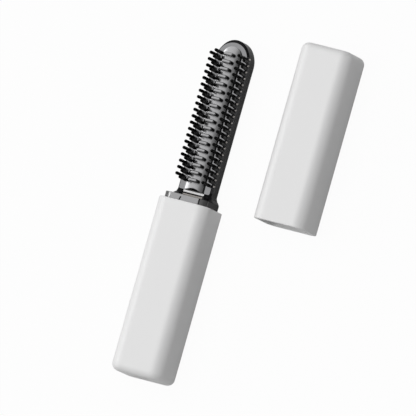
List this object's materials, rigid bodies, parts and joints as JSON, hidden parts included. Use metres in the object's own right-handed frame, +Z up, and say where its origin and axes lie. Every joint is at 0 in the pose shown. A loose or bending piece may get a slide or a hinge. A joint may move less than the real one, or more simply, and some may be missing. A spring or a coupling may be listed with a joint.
{
  "type": "cordless heated comb",
  "caption": "Cordless travel heating comb with a square handle, a ribbed metal plate between rows of comb teeth, a side push button and a pull-off cap lying beside it.",
  "frame": {"origin": "middle of the handle's flat back face, which is the face it lies on", "axes": "+X across the handle towards the cap that lies beside it, +Y along the handle towards the heating head, +Z up, the way the comb teeth point"},
  "size_m": [0.087, 0.1967, 0.03],
  "materials": {
    "white_shell": "smooth white, semi-gloss",
    "black_frame": "black heat-resistant moulding, satin",
    "grey_trim": "dark grey, glossy",
    "polished_plate": "polished",
    "cast_plate": "satin silver coating",
    "white_block": "smooth",
    "pale_insert": "pale heat-resistant moulding",
    "black_teeth": "black heat-resistant moulding",
    "heater_ceramic": "unglazed",
    "contact_brass": "stamped sheet",
    "insulating_paper": "smooth amber sheet",
    "plain_steel": "plain",
    "sensor_glass": "glass bead",
    "lead_insulation": "silicone sleeve",
    "dark_chassis": "plain moulding",
    "cell_wrap": "plain shrink wrap",
    "pad_foam": "foam",
    "board_laminate": "green solder mask",
    "chip_black": "moulded",
    "lamp_cream": "small lamp",
    "clear_guide": "clear moulding"
  },
  "bodies": {
    "comb": {"handle_shell": "white_shell", "collar_ring": "black_frame", "collar_trim": "grey_trim", "head_frame": "black_frame", "border_plate": "polished_plate", "heating_plate": "cast_plate", "plate_foot": "white_block", "neck_insert": "pale_insert", "left_comb_strip": "black_teeth", "right_comb_strip": "black_teeth", "heater_stones": "heater_ceramic", "front_contact": "contact_brass", "rear_contact": "contact_brass", "insulating_sheet": "insulating_paper", "bow_spring": "plain_steel", "thermal_fuse": "plain_steel", "temperature_sensor": "sensor_glass", "heater_leads": "lead_insulation", "head_screws": "plain_steel", "chassis": "dark_chassis", "chassis_screws": "plain_steel", "battery_cell": "cell_wrap", "battery_tabs": "plain_steel", "battery_pads": "pad_foam", "main_board": "board_laminate", "board_parts": "chip_black", "board_screws": "plain_steel", "charging_board": "board_laminate", "charging_socket": "plain_steel", "status_light": "lamp_cream", "light_guide": "clear_guide", "power_switch": "chip_black"},
    "button": {"power_button": "white_shell", "switch_plunger": "white_block"},
    "cap": {"cap_shell": "white_shell"}
  },
  "joints": [
    {"name": "cap_slide", "type": "slide", "parent": "comb", "child": "cap", "axis": [0, 1, 0], "range_m": [0, 0.1]},
    {"name": "button_press", "type": "slide", "parent": "comb", "child": "button", "axis": [1, 0, 0], "range_m": [0, 0.0006], "stiffness_N_per_m": 800}
  ]
}
